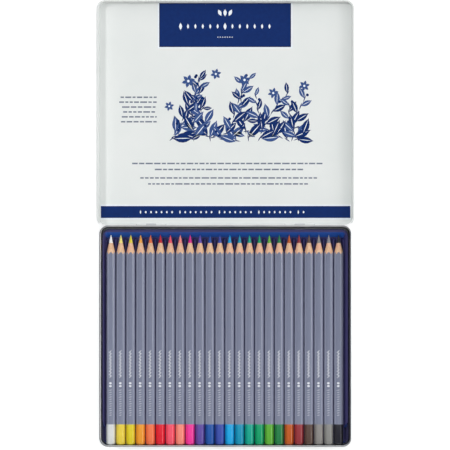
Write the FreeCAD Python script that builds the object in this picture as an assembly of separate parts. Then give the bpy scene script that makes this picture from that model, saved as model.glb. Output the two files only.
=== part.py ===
"""Watercolour pencil set: a hinged metal tin, a moulded insert tray and a row of pencils.

The tin lies open on a table, as it is used: the base in front with the tray and the
pencils in it, and the lid turned right over behind it, resting on its outer face.
Units are millimetres. The origin is the centre of the base's underside, +X points to
the right, +Y from the pencils' ends towards the hinge, and +Z up.
"""
import FreeCAD, Part

import math
import os

Vector = FreeCAD.Vector
X_AXIS = Vector(1, 0, 0)
Y_AXIS = Vector(0, 1, 0)
Z_AXIS = Vector(0, 0, 1)

# Pencils: hexagonal, sharpened at the hinge end, dipped and domed at the other
pencil_count = 24
pencil_length = 175.0
pencil_across_flats = 6.9
pencil_corner_radius = 1.0
pencil_gap = 0.61
sharpened_length = 14.3
lead_diameter = 3.3
lead_tip_radius = 0.2
lead_glue_gap = 0.02
wood_feather_edge = 0.05
end_dome_height = 1.2
end_dome_inset = 1.3
end_cap_depth = 1.5
cone_facets = 24
lead_facets = 12

# Insert tray: one thin sheet formed over a mould, with a groove for each pencil
tray_sheet = 0.5
tray_bed_height = 2.7
tray_foot_gap = 0.1
tray_draft = 0.3
tray_side_flange = 1.7
tray_rear_flange = 2.15
tray_corner_radius = 5.4
tray_edge_bevel = 0.4
tray_apron_length = 14.8
tray_apron_gap = 0.9
flange_end_slope = 3.2
pocket_clearance = 0.2
pocket_side_slope = 1.75
pocket_rear_slope = 4.2
pocket_depth = 6.4
pocket_corner_radius = 3.0
pencil_row_shift = 0.5
pencil_seat_gap = 0.05
ridge_height = 2.3
ridge_side_gap = 0.15
ridge_shoulder_drop = 0.5
ridge_crown_width = 0.7
ridge_rear_gap = 0.7
ridge_front_gap = 0.4
ridge_end_slope = 1.6

# Base of the tin: drawn sheet with a bent floor edge and a rim curled outwards
base_sheet = 0.3
base_curl = 1.6
base_corner_radius = 7.6
base_floor_bevel = 0.9
base_head_room = 4.35
pencil_end_gap = 0.3
pencil_tip_room = 2.4
tray_side_gap = 0.82
tray_rear_gap = 2.15

# Lid of the tin: a shallow pan that closes over the outside of the base
lid_sheet = 0.3
lid_curl = 1.7
lid_corner_radius = 7.6
lid_edge_bevel = 0.9
lid_skirt_height = 7.3
lid_side_gap = 0.7
lid_front_gap = 0.7
lid_rear_gap = 0.2
lid_rest_gap = 0.3
curl_end_angle = 45.0
curl_facets = 8

# Thumb cut-out in the lid's front skirt, and the beads and dimples pressed into the skirt
thumb_width = 106.0
thumb_drop = 1.8
thumb_ramp = 8.0
bead_length = 14.0
bead_height = 3.0
bead_depth = 0.5
bead_end_slope = 1.6
bead_side_slope = 0.9
bead_spacing = 0.5
bead_level = 3.3
dimple_diameter = 3.2
dimple_depth = 0.45
dimple_crown_diameter = 1.4
dimple_facets = 10
dimple_level = 3.4
side_dimple_from_hinge = 24.5
front_dimple_from_middle = 81.4

# Two hinges: a knuckle of the base between two of the lid, round a wire pin
hinge_from_middle = 62.0
hinge_pin_diameter = 1.2
hinge_pin_overhang = 0.4
hinge_running_gap = 0.05
knuckle_length = 8.0
knuckle_end_gap = 0.2
knuckle_sweep_gap = 0.2
hinge_slot_height = 3.2
hinge_slot_side_gap = 0.15
knuckle_facets = 12

# One overrun for every cut that passes right through, and how close two heights count as one
overrun = 2.0
height_match = 0.01

# Pencil row, worked out from the pencils
half_flats = pencil_across_flats / 2
corner_trim = pencil_corner_radius * (1 / math.cos(math.radians(30)) - 1)
half_corners = half_flats / math.cos(math.radians(30)) - corner_trim
hexagon_side = pencil_across_flats * math.tan(math.radians(30))
pencil_pitch = 2 * half_corners + pencil_gap
row_half_width = (pencil_count - 1) * pencil_pitch / 2 + half_corners
cone_slope = (half_flats - lead_tip_radius) / sharpened_length
lead_radius = lead_diameter / 2
lead_bore_radius = lead_radius + lead_glue_gap

# Tray and base in plan, from the middle outwards
pocket_half_width = row_half_width + pocket_clearance
tray_half_width = pocket_half_width + pocket_side_slope + tray_side_flange
base_inner_x = tray_half_width + tray_draft + tray_side_gap
base_half_width = base_inner_x + base_curl
rear_stack = pencil_tip_room + tray_rear_flange + tray_rear_gap
base_inner_y = (pencil_end_gap + pencil_length + rear_stack) / 2
base_half_depth = base_inner_y + base_curl
pencil_end_y = -base_inner_y + pencil_end_gap
pencil_tip_y = pencil_end_y + pencil_length
pocket_rear_top_y = pencil_tip_y + pencil_tip_room
tray_rear_y = pocket_rear_top_y + tray_rear_flange

# Heights of the base's contents and of the closed tin
tray_bed_z = base_sheet + tray_bed_height
tray_top_z = tray_bed_z + pocket_depth
pencil_axis_z = tray_bed_z + pencil_seat_gap + half_flats
base_rim_z = pencil_axis_z + half_flats + base_head_room
closed_height = base_rim_z + lid_rest_gap + lid_sheet
tray_foot_z = base_sheet + tray_foot_gap

# Hinge axis, in the middle of the lid's rear skirt and half way up the closed tin
hinge_y = base_half_depth + lid_rear_gap + lid_sheet / 2
hinge_z = closed_height / 2
knuckle_bore_radius = hinge_pin_diameter / 2 + hinge_running_gap
knuckle_radius = knuckle_bore_radius / math.cos(math.pi / knuckle_facets) + lid_sheet

# Lid as it lies open, its front edge farthest from the base
lid_half_width = base_half_width + lid_side_gap + lid_curl
lid_wall_x = lid_half_width - lid_curl + lid_sheet
lid_rear_y = hinge_y - lid_sheet / 2
lid_front_y = 2 * hinge_y + base_half_depth + lid_front_gap + lid_curl
lid_wall_front_y = lid_front_y - lid_curl + lid_sheet
lid_curl_z = lid_skirt_height - lid_curl / 2
lid_wall_corner = lid_corner_radius - lid_curl + lid_sheet
lid_rear_skirt_z = hinge_z - knuckle_radius - knuckle_sweep_gap


def rounded_rectangle(left, right, front, rear, height, radius):
    """Closed wire of a rectangle with round corners, level at the given height."""
    corners = []
    for x_side, y_side in ((1, 1), (-1, 1), (-1, -1), (1, -1)):
        x = right - radius if x_side > 0 else left + radius
        y = rear - radius if y_side > 0 else front + radius
        middle = math.degrees(math.atan2(y_side, x_side))
        corners.append(
            Part.makeCircle(radius, Vector(x, y, height), Z_AXIS, middle - 45, middle + 45)
        )
    edges = []
    for index, corner in enumerate(corners):
        following = corners[(index + 1) % len(corners)]
        edges.append(corner)
        edges.append(Part.makeLine(corner.lastVertex().Point, following.firstVertex().Point))
    return Part.Wire(edges)


def upright_block(left, right, front, rear, bottom, top, radius):
    """Straight block with round upright edges."""
    plan = rounded_rectangle(left, right, front, rear, bottom, radius)
    return Part.Face(plan).extrude(Z_AXIS * (top - bottom))


def facet_ring(centre, radius, facets, first, second, turn=0):
    """Corners of a round form cut in flat facets, in the plane of two directions."""
    corners = []
    for step in range(facets):
        angle = 2 * math.pi * step / facets + turn
        corners.append(centre + first * (radius * math.cos(angle)) + second * (radius * math.sin(angle)))
    return corners


def outline(corners):
    """Closed outline through corners."""
    return Part.makePolygon(corners + corners[:1])


def faceted_solid(rings):
    """Solid with flat faces between rings of as many corners."""
    faces = [Part.Face(outline(rings[0][::-1])), Part.Face(outline(rings[-1]))]
    for lower, upper in zip(rings, rings[1:]):
        for index, corner in enumerate(lower):
            following = (index + 1) % len(lower)
            faces.append(Part.Face(outline([corner, lower[following], upper[following], upper[index]])))
    shell = Part.makeShell(faces)
    shell.sewShape()
    solid = Part.makeSolid(shell)
    if solid.Volume < 0:
        solid.reverse()
    return solid


def straight_loft(outlines):
    """Solid with straight sides from outline to outline."""
    return Part.makeLoft(outlines, True, True)


def prism(points, direction):
    """Straight prism from an outline, along the given direction."""
    return Part.Face(outline(points)).extrude(direction)


def level_edges(shape, height):
    """Edges of a shape that lie flat at one height."""
    return [
        edge
        for edge in shape.Edges
        if math.isclose(edge.BoundBox.ZMin, height, abs_tol=height_match)
        and math.isclose(edge.BoundBox.ZMax, height, abs_tol=height_match)
    ]


def sheet_pan(left, right, front, rear, top, sheet, corner, bevel):
    """Open pan of one sheet thickness, standing at zero, with a bevelled bend round its floor."""
    outer = upright_block(left, right, front, rear, 0, top, corner)
    outer = outer.makeChamfer(bevel, level_edges(outer, 0))
    inner = upright_block(
        left + sheet, right - sheet, front + sheet, rear - sheet, sheet, top + overrun, corner - sheet
    )
    inner = inner.makeChamfer(bevel - sheet / 2, level_edges(inner, sheet))
    return outer.cut(inner)


def roll_along(path, start, tangent, diameter):
    """Roll of sheet along a path, cut in flat facets."""
    across = tangent.cross(Z_AXIS)
    radius = diameter / 2 / math.cos(math.pi / curl_facets)
    section = facet_ring(start, radius, curl_facets, across, Z_AXIS, math.pi / curl_facets)
    return path.makePipeShell([outline(section)], True, False)


def pencil_x(index):
    """Middle of one pencil, counted from the left."""
    return -pencil_row_shift + (index - (pencil_count - 1) / 2) * pencil_pitch


def bar_ring(x, y, inset):
    """Corners of the six-sided bar's section, its own corners trimmed flat, flat side up."""
    shrink = 1 - inset / half_flats
    flats = half_flats * shrink
    corners = half_corners * shrink
    half_trim = (flats - corners * math.cos(math.radians(30))) / math.sin(math.radians(30))
    points = []
    for step in range(6):
        angle = math.radians(60 * step)
        out = Vector(math.cos(angle), 0, math.sin(angle))
        along = Vector(-math.sin(angle), 0, math.cos(angle))
        centre = Vector(x, y, pencil_axis_z)
        points.append(centre + out * corners - along * half_trim)
        points.append(centre + out * corners + along * half_trim)
    return points


def pencil_ring(index, y, radius, facets):
    """Corners of a round section of one pencil."""
    return facet_ring(Vector(pencil_x(index), y, pencil_axis_z), radius, facets, X_AXIS, Z_AXIS)


def pencil_casing(index):
    """Wooden casing with its lead bore, scalloped where the cone meets the six faces."""
    x = pencil_x(index)
    bar = faceted_solid(
        [
            bar_ring(x, pencil_end_y, end_dome_inset),
            bar_ring(x, pencil_end_y + end_dome_height, 0),
            bar_ring(x, pencil_tip_y, 0),
        ]
    )
    feather_radius = lead_bore_radius + wood_feather_edge
    wood_end_y = pencil_tip_y - (feather_radius - lead_tip_radius) / cone_slope
    back_y = pencil_end_y - overrun
    back_radius = feather_radius + (wood_end_y - back_y) * cone_slope
    cone = faceted_solid(
        [
            pencil_ring(index, back_y, back_radius, cone_facets),
            pencil_ring(index, wood_end_y, feather_radius, cone_facets),
        ]
    )
    bore_ring = pencil_ring(index, pencil_end_y + end_cap_depth, lead_bore_radius, lead_facets)
    return bar.common(cone).cut(prism(bore_ring, Y_AXIS * pencil_length))


def pencil_lead(index):
    """Coloured lead, as long as its bore and sharpened with the wood."""
    back_y = pencil_end_y + end_cap_depth + lead_glue_gap
    shoulder_y = pencil_tip_y - (lead_radius - lead_tip_radius) / cone_slope
    return faceted_solid(
        [
            pencil_ring(index, back_y, lead_radius, lead_facets),
            pencil_ring(index, shoulder_y, lead_radius, lead_facets),
            pencil_ring(index, pencil_tip_y, lead_tip_radius, lead_facets),
        ]
    )


def ridge_profile(x, inset):
    """Section of one ridge between two pencils, its sides along their lower faces."""
    face_angle = math.radians(60)
    foot = (pencil_pitch - hexagon_side) / 2 - (ridge_side_gap + inset) / math.sin(face_angle)
    bed = tray_bed_z - inset
    shoulder = ridge_height - ridge_shoulder_drop
    shoulder_half = foot - (shoulder + inset) / math.tan(face_angle)
    crown_half = max(ridge_crown_width / 2 - inset / 2, 0)
    root_half = foot + inset / math.tan(face_angle)
    return [
        Vector(x - root_half, 0, bed - inset),
        Vector(x + root_half, 0, bed - inset),
        Vector(x + shoulder_half, 0, bed + shoulder),
        Vector(x + crown_half, 0, bed + ridge_height),
        Vector(x - crown_half, 0, bed + ridge_height),
        Vector(x - shoulder_half, 0, bed + shoulder),
    ]


def ridge_limits(inset):
    """Space that the ridges keep to: sloping ends, inside the apron's round corners."""
    rear = pocket_rear_top_y - pocket_rear_slope - ridge_rear_gap - inset
    front = -base_inner_y + tray_apron_gap + ridge_front_gap + inset
    side = tray_half_width + tray_draft - ridge_front_gap - inset
    bed = tray_bed_z - inset
    root = bed - 2 * tray_sheet
    top = bed + ridge_height + overrun
    run = ridge_end_slope * (ridge_height + overrun) / ridge_height
    side_view = [
        Vector(-side, front, bed),
        Vector(-side, front + run, top),
        Vector(-side, rear - run, top),
        Vector(-side, rear, bed),
        Vector(-side, rear, root),
        Vector(-side, front, root),
    ]
    plan = upright_block(-side, side, front, rear + overrun, root, top, tray_corner_radius)
    return prism(side_view, X_AXIS * (2 * side)).common(plan)


def tray_ridges(inset):
    """Ridges of the grooved bed, one each side of every pencil."""
    limits = ridge_limits(inset)
    ridges = []
    for index in range(pencil_count + 1):
        x = pencil_x(index) - pencil_pitch / 2
        bar = prism(ridge_profile(x, inset), Y_AXIS * (2 * base_inner_y))
        bar.translate(Y_AXIS * -base_inner_y)
        ridges.append(bar.common(limits))
    return ridges


def tray_pocket(inset):
    """Space inside the tray's rim, open to the front, with sloping sides and rear."""
    floor = tray_bed_z - inset
    top = tray_top_z + overrun
    side_run = pocket_side_slope * (top - floor) / pocket_depth
    rear_run = pocket_rear_slope * (top - floor) / pocket_depth
    left = -pencil_row_shift - pocket_half_width - inset
    right = -pencil_row_shift + pocket_half_width + inset
    rear = pocket_rear_top_y - pocket_rear_slope + inset
    front = -base_inner_y - overrun
    lower = rounded_rectangle(left, right, front, rear, floor, pocket_corner_radius)
    upper = rounded_rectangle(
        left - side_run, right + side_run, front, rear + rear_run, top, pocket_corner_radius
    )
    return straight_loft([lower, upper])


def tray_body(inset, bottom):
    """Raised rim and low front apron of the tray, before the pocket is taken out."""
    side = tray_half_width - inset
    foot = side + tray_draft
    top = tray_top_z - inset
    front_top = -base_inner_y + tray_apron_gap + tray_apron_length + inset
    front_foot = front_top - flange_end_slope
    radius = tray_corner_radius - inset
    lower = rounded_rectangle(
        -foot, foot, front_foot, tray_rear_y + tray_draft - inset, bottom, radius
    )
    bevel = tray_edge_bevel
    shoulder = rounded_rectangle(
        -side, side, front_top - bevel, tray_rear_y - inset, top - bevel, radius
    )
    upper = rounded_rectangle(
        bevel - side, side - bevel, front_top, tray_rear_y - inset - bevel, top, radius - bevel
    )
    rim = straight_loft([lower, shoulder, upper])
    apron_front = -base_inner_y + tray_apron_gap + inset
    apron = upright_block(-foot, foot, apron_front, 0, bottom, tray_bed_z - inset, radius)
    return rim.fuse(apron)


def formed_surface(inset, bottom):
    """Solid under one face of the tray's sheet."""
    body = tray_body(inset, bottom).cut(tray_pocket(inset))
    return body.fuse(tray_ridges(inset))


def insert_tray():
    """Insert tray, one sheet thick, standing on its skirt."""
    upper_form = formed_surface(0, tray_foot_z)
    lower_form = formed_surface(tray_sheet, tray_foot_z - overrun)
    return upper_form.cut(lower_form).removeSplitter()


def knuckle_ring(middle_x):
    """Rolled knuckle round the hinge axis, and the bore that is cut through it."""
    start = Vector(middle_x - knuckle_length / 2, hinge_y, hinge_z)
    bore_reach = knuckle_bore_radius / math.cos(math.pi / knuckle_facets)
    outer = facet_ring(start, knuckle_radius, knuckle_facets, Y_AXIS, Z_AXIS)
    inner = facet_ring(start - X_AXIS * overrun, bore_reach, knuckle_facets, Y_AXIS, Z_AXIS)
    return prism(outer, X_AXIS * knuckle_length), prism(inner, X_AXIS * (knuckle_length + 2 * overrun))


def base_shell():
    """Base pan with its curled rim, and a knuckle lanced out of the rear wall at each hinge."""
    wall_x = base_inner_x + base_sheet
    wall_y = base_inner_y + base_sheet
    curl_z = base_rim_z - base_curl / 2
    corner = base_corner_radius - base_curl + base_sheet
    pan = sheet_pan(-wall_x, wall_x, -wall_y, wall_y, curl_z, base_sheet, corner, base_floor_bevel)
    middle_x = base_half_width - base_curl / 2
    middle_y = base_half_depth - base_curl / 2
    middle_radius = base_corner_radius - base_curl / 2
    path = rounded_rectangle(-middle_x, middle_x, -middle_y, middle_y, curl_z, middle_radius)
    start = Vector(middle_x - middle_radius, middle_y, curl_z)
    shell = pan.fuse(roll_along(path, start, X_AXIS, base_curl))
    slot_width = knuckle_length + 2 * hinge_slot_side_gap
    for side in (-1, 1):
        middle = side * hinge_from_middle
        ring, bore = knuckle_ring(middle)
        tab_corner = Vector(middle - knuckle_length / 2, base_inner_y, hinge_z - base_sheet / 2)
        tab = Part.makeBox(knuckle_length, hinge_y - base_inner_y, base_sheet, tab_corner)
        slot_corner = Vector(middle - slot_width / 2, base_inner_y - overrun, hinge_z + base_sheet / 2)
        slot = Part.makeBox(slot_width, base_sheet + overrun, hinge_slot_height, slot_corner)
        shell = shell.cut(slot).fuse(ring.fuse(tab)).cut(bore)
    return shell.removeSplitter()


def rim_dip(side, height):
    """Two tangent arcs by which the front rim dips at one end of the thumb cut-out."""
    y = lid_front_y - lid_curl / 2
    turn = 2 * math.atan(thumb_drop / thumb_ramp)
    radius = thumb_ramp / (2 * math.sin(turn))
    high = Vector(side * thumb_width / 2, y, height)
    low = Vector(side * (thumb_width / 2 - thumb_ramp), y, height - thumb_drop)
    middle = (high + low) * 0.5
    bulge = Vector(-side * math.sin(turn / 2), 0, math.cos(turn / 2)) * radius
    high_middle = high - Z_AXIS * radius + bulge
    low_middle = low + Z_AXIS * radius - bulge
    return Part.Arc(high, high_middle, middle).toShape(), Part.Arc(middle, low_middle, low).toShape()


def thumb_line(height):
    """Line of the front rim along the thumb cut-out, from left to right."""
    left_high, left_low = rim_dip(-1, height)
    right_high, right_low = rim_dip(1, height)
    low_left = left_low.lastVertex().Point
    low_right = right_low.lastVertex().Point
    return [left_high, left_low, Part.makeLine(low_left, low_right), right_low, right_high]


def lid_rim_side(side):
    """Rim line along one side of the lid, from its rear corner round to the thumb cut-out."""
    middle_x = side * (lid_half_width - lid_curl / 2)
    radius = lid_corner_radius - lid_curl / 2
    corner_x = middle_x - side * radius
    rear_centre = Vector(corner_x, lid_rear_y - lid_curl / 2 + lid_sheet + radius, lid_curl_z)
    front_centre = Vector(corner_x, lid_front_y - lid_curl / 2 - radius, lid_curl_z)

    def corner_point(centre, degrees):
        turn = math.radians(degrees)
        return centre + Vector(side * math.cos(turn), math.sin(turn), 0) * radius

    rear_arc = [corner_point(rear_centre, angle) for angle in (-curl_end_angle, -curl_end_angle / 2, 0)]
    front_arc = [corner_point(front_centre, angle) for angle in (0, 45, 90)]
    thumb_end = Vector(side * thumb_width / 2, lid_front_y - lid_curl / 2, lid_curl_z)
    return [
        Part.Arc(*rear_arc).toShape(),
        Part.makeLine(rear_arc[-1], front_arc[0]),
        Part.Arc(*front_arc).toShape(),
        Part.makeLine(front_arc[-1], thumb_end),
    ]


def lid_rim_curl():
    """Curl of the lid's rim, which stops in the rear corners, clear of the base."""
    edges = lid_rim_side(-1) + thumb_line(lid_curl_z) + lid_rim_side(1)
    path = Part.Wire(Part.__sortEdges__(edges))
    radius = lid_corner_radius - lid_curl / 2
    turn = math.radians(curl_end_angle)
    corner_x = lid_half_width - lid_corner_radius
    start = Vector(
        -corner_x - radius * math.cos(turn),
        lid_rear_y - lid_curl / 2 + lid_sheet + radius - radius * math.sin(turn),
        lid_curl_z,
    )
    tangent = Vector(-math.sin(turn), math.cos(turn), 0)
    return roll_along(path, start, tangent, lid_curl)


def thumb_cut():
    """What the thumb cut-out takes off the front skirt."""
    y = lid_front_y - lid_curl / 2
    high = lid_curl_z + overrun
    half = thumb_width / 2
    line = thumb_line(lid_curl_z)
    edges = line + [
        Part.makeLine(Vector(half, y, lid_curl_z), Vector(half, y, high)),
        Part.makeLine(Vector(half, y, high), Vector(-half, y, high)),
        Part.makeLine(Vector(-half, y, high), Vector(-half, y, lid_curl_z)),
    ]
    cut_face = Part.Face(Part.Wire(Part.__sortEdges__(edges)))
    cut = cut_face.extrude(Y_AXIS * (lid_curl + overrun))
    cut.translate(Y_AXIS * -(lid_curl + overrun) / 2)
    return cut


def bead_form(middle_x, wall_y):
    """Long low bead that stands from a wall plane towards the hinge."""

    def ring(trim_end, trim_side, y):
        across = bead_length / 2 - trim_end
        up = bead_height / 2 - trim_side
        return [
            Vector(middle_x - across, y, bead_level - up),
            Vector(middle_x + across, y, bead_level - up),
            Vector(middle_x + across, y, bead_level + up),
            Vector(middle_x - across, y, bead_level + up),
        ]

    return faceted_solid([ring(0, 0, wall_y), ring(bead_end_slope, bead_side_slope, wall_y - bead_depth)])


def press_front_beads(shell):
    """Press the two beads into the front skirt that snap under the base's rim."""
    inner_y = lid_wall_front_y - lid_sheet
    bead_x = thumb_width / 2 + bead_spacing + bead_length / 2
    for side in (-1, 1):
        shell = shell.fuse(bead_form(side * bead_x, inner_y))
        shell = shell.cut(bead_form(side * bead_x, lid_wall_front_y))
    return shell


def press_dimple(shell, inner_point, inward):
    """Press one round dimple through a skirt at a point of its inner face."""
    across = inward.cross(Z_AXIS)
    crown_point = inner_point + inward * dimple_depth
    foot = facet_ring(inner_point, dimple_diameter / 2, dimple_facets, across, Z_AXIS)
    crown = facet_ring(crown_point, dimple_crown_diameter / 2, dimple_facets, across, Z_AXIS)
    raised = faceted_solid([foot, crown])
    hollow = raised.copy()
    hollow.translate(inward * -lid_sheet)
    return shell.fuse(raised).cut(hollow)


def press_dimples(shell):
    """Press the spacing dimples into the side and front skirts."""
    inner_x = lid_wall_x - lid_sheet
    inner_y = lid_wall_front_y - lid_sheet
    dimple_y = hinge_y + side_dimple_from_hinge
    for side in (-1, 1):
        shell = press_dimple(shell, Vector(side * inner_x, dimple_y, dimple_level), X_AXIS * -side)
        front_x = side * front_dimple_from_middle
        shell = press_dimple(shell, Vector(front_x, inner_y, dimple_level), Y_AXIS * -1)
    return shell


def lid_shell():
    """Lid pan, open side up, with its curl, pressed marks and hinge knuckles."""
    pan = sheet_pan(
        -lid_wall_x,
        lid_wall_x,
        lid_rear_y,
        lid_wall_front_y,
        lid_curl_z,
        lid_sheet,
        lid_wall_corner,
        lid_edge_bevel,
    )
    rear_trim_x = lid_wall_x - lid_wall_corner
    rear_trim = Part.makeBox(
        2 * rear_trim_x,
        lid_sheet + overrun,
        lid_curl_z,
        Vector(-rear_trim_x, lid_rear_y - overrun / 2, lid_rear_skirt_z),
    )
    shell = press_front_beads(press_dimples(pan)).cut(rear_trim).cut(thumb_cut())
    shell = shell.fuse(lid_rim_curl())
    for side in (-1, 1):
        for neighbour in (-1, 1):
            offset = neighbour * (knuckle_length + knuckle_end_gap)
            middle = side * hinge_from_middle + offset
            ring, bore = knuckle_ring(middle)
            neck_corner = Vector(middle - knuckle_length / 2, lid_rear_y, lid_rear_skirt_z - lid_sheet)
            neck_height = hinge_z - lid_rear_skirt_z + lid_sheet
            neck = Part.makeBox(knuckle_length, lid_sheet, neck_height, neck_corner)
            shell = shell.fuse(ring.fuse(neck)).cut(bore)
    return shell.removeSplitter()


def hinge_pin(side):
    """Wire pin of one hinge, cut off square."""
    length = 3 * knuckle_length + 2 * knuckle_end_gap + 2 * hinge_pin_overhang
    start = Vector(side * hinge_from_middle - length / 2, hinge_y, hinge_z)
    return Part.makeCylinder(hinge_pin_diameter / 2, length, start, X_AXIS)


def export(name, shape):
    """Write one node, after making sure that it is one sound solid."""
    solid = shape.Solids[0] if len(shape.Solids) == 1 else None
    if solid is None or not solid.isValid():
        raise ValueError(f"{name} is not one sound solid: {len(shape.Solids)} solids")
    solid.exportStep(f"parts/{name}.step")


def main():
    """Build every node of the set."""
    os.makedirs("parts", exist_ok=True)
    export("base_shell", base_shell())
    export("lid_shell", lid_shell())
    export("hinge_pin_left", hinge_pin(-1))
    export("hinge_pin_right", hinge_pin(1))
    export("insert_tray", insert_tray())
    for index in range(pencil_count):
        export(f"pencil_{index + 1:02d}_casing", pencil_casing(index))
        export(f"pencil_{index + 1:02d}_lead", pencil_lead(index))


main()
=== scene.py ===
"""Looks of a watercolour pencil set: a hinged tin, its insert tray and 24 six-sided pencils."""

import logging
import math
import random
from collections.abc import Callable, Iterator
from contextlib import contextmanager
from dataclasses import dataclass
from enum import Enum

import bmesh
import bpy
from mathutils import Matrix, Vector


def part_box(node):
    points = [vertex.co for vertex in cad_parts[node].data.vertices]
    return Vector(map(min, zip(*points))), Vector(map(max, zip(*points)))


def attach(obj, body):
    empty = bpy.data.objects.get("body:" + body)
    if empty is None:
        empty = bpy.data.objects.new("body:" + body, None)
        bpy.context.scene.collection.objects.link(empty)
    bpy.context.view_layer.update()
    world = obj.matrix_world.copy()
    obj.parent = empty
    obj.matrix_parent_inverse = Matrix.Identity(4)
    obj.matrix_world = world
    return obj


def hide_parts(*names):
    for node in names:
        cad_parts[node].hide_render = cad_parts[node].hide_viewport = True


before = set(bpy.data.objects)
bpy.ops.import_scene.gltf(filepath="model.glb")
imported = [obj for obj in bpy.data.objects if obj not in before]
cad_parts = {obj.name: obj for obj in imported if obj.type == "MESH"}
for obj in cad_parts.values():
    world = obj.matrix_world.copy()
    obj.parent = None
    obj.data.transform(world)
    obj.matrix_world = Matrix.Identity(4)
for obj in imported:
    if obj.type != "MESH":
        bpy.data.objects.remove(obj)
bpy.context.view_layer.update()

MM = 0.001
FACING = 0.9  # a face looks along an axis when its normal's share along it is past this
log = logging.getLogger("pencil_set")

Node = bpy.types.Node
Tree = bpy.types.NodeTree
Socket = bpy.types.NodeSocket
Piece = bpy.types.Object
Pair = tuple[float, float]
Stops = list[tuple[float, str]]


# Small tools for meshes and materials


def linear(colour: str) -> tuple[float, float, float, float]:
    """Turns an sRGB hex colour to linear RGBA by the sRGB curve.

    Args:
        colour: the colour as "#RRGGBB".

    Returns:
        The four linear shares that a shader's socket takes.
    """
    shares = [int(colour[place : place + 2], 16) / 255 for place in (1, 3, 5)]
    red, green, blue = (
        share / 12.92 if share <= 0.04045 else ((share + 0.055) / 1.055) ** 2.4 for share in shares
    )
    return red, green, blue, 1.0


def set_values(node: Node, settings: dict) -> None:
    """Sets a node's values.

    Args:
        node: the node.
        settings: values by name; a name or number of a socket sets the socket, any other the node.
    """
    for name, value in settings.items():
        if isinstance(name, int) or name in node.inputs:
            node.inputs[name].default_value = value
        else:
            setattr(node, name, value)


def add_node(
    tree: Tree,
    kind: str,
    settings: dict | None = None,
    links: dict | None = None,
    stops: Stops | None = None,
) -> Node:
    """Adds one shader node with its settings and links.

    Args:
        tree: the material's or the world's node tree.
        kind: the node's Blender type.
        settings: its values, as set_values takes them.
        links: the output sockets that feed the node, by the name or number of its input.
        stops: places and hex colours of a colour ramp.

    Returns:
        The new node.
    """
    node = tree.nodes.new(kind)
    set_values(node, settings or {})
    for name, source in (links or {}).items():
        tree.links.new(source, node.inputs[name])
    if stops:
        ramp = node.color_ramp.elements
        while len(ramp) < len(stops):
            ramp.new(0.5)
        for element, (place, colour) in zip(ramp, stops):
            element.position = place
            element.color = linear(colour)
    return node


def only(piece: Piece) -> None:
    """Makes one object the selected and active one, in object mode.

    Args:
        piece: the object.
    """
    deselect_all()
    piece.select_set(True)
    bpy.context.view_layer.objects.active = piece


def deselect_all() -> None:
    """Leaves edit mode and deselects every object."""
    if bpy.context.mode != "OBJECT":
        bpy.ops.object.mode_set(mode="OBJECT")
    bpy.ops.object.select_all(action="DESELECT")


@contextmanager
def editing(piece: Piece, element: str = "FACE") -> Iterator[Piece]:
    """Edit mode of one object with nothing selected in it.

    Args:
        piece: the mesh object.
        element: what is picked, "VERT", "EDGE" or "FACE".

    Yields:
        The object, in edit mode.
    """
    only(piece)
    bpy.ops.object.mode_set(mode="EDIT")
    bpy.ops.mesh.select_mode(type=element)
    bpy.ops.mesh.select_all(action="DESELECT")
    try:
        yield piece
    finally:
        bpy.ops.object.mode_set(mode="OBJECT")


def pick_faces(piece: Piece, wanted: Callable[[Vector, Vector], bool]) -> None:
    """Selects faces in edit mode.

    Args:
        piece: the object in edit mode.
        wanted: says from a face's middle and normal whether it is picked.
    """
    mesh = bmesh.from_edit_mesh(piece.data)
    for face in mesh.faces:
        if wanted(face.calc_center_median(), face.normal):
            face.select_set(True)
    bmesh.update_edit_mesh(piece.data)


def pick_edges(piece: Piece, wanted: Callable[[Vector, Vector], bool]) -> None:
    """Selects edges in edit mode.

    Args:
        piece: the object in edit mode.
        wanted: says from an edge's two ends whether it is picked.
    """
    mesh = bmesh.from_edit_mesh(piece.data)
    for edge in mesh.edges:
        if wanted(edge.verts[0].co, edge.verts[1].co):
            edge.select_set(True)
    bmesh.update_edit_mesh(piece.data)


def settled(name: str) -> Piece:
    """Names the object just added and puts its place into its mesh.

    Args:
        name: the piece's name.

    Returns:
        The object, at the origin, unturned and unscaled.
    """
    piece = bpy.context.object
    piece.name = name
    piece.data.name = name
    bpy.ops.object.transform_apply(location=True, rotation=True, scale=True)
    return piece


def linked(name: str, data: bpy.types.ID) -> Piece:
    """Puts a new object in the scene.

    Args:
        name: the object's name.
        data: its mesh, lamp or camera.

    Returns:
        The object.
    """
    piece = bpy.data.objects.new(name, data)
    bpy.context.scene.collection.objects.link(piece)
    return piece


def apply_modifier(piece: Piece, kind: str, **settings: object) -> None:
    """Adds one modifier with its settings and applies it.

    Args:
        piece: the mesh object.
        kind: the modifier's Blender type.
        settings: the modifier's values by name.
    """
    only(piece)
    modifier = piece.modifiers.new(kind.lower(), kind)
    for name, value in settings.items():
        setattr(modifier, name, value)
    bpy.ops.object.modifier_apply(modifier=modifier.name)


def cut(piece: Piece, tool: Piece, operation: str) -> None:
    """Cuts a piece with a tool solid, which goes away.

    Args:
        piece: what is cut.
        tool: the solid that cuts it.
        operation: "INTERSECT" or "DIFFERENCE".
    """
    apply_modifier(piece, "BOOLEAN", operation=operation, object=tool, solver="EXACT")
    bpy.data.objects.remove(tool)


def joined(pieces: list[Piece], name: str) -> Piece:
    """Joins objects to one mesh.

    Args:
        pieces: the objects; the first gives the material slots their order.
        name: the joined piece's name.

    Returns:
        The joined object.
    """
    only(pieces[0])
    for piece in pieces[1:]:
        piece.select_set(True)
    bpy.ops.object.join()
    pieces[0].name = name
    pieces[0].data.name = name
    return pieces[0]


def smooth(piece: Piece, angle: float) -> None:
    """Shades a piece smooth, with edges sharper than the angle in degrees kept."""
    only(piece)
    bpy.ops.object.shade_smooth_by_angle(angle=math.radians(angle))


# Finishes


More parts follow.
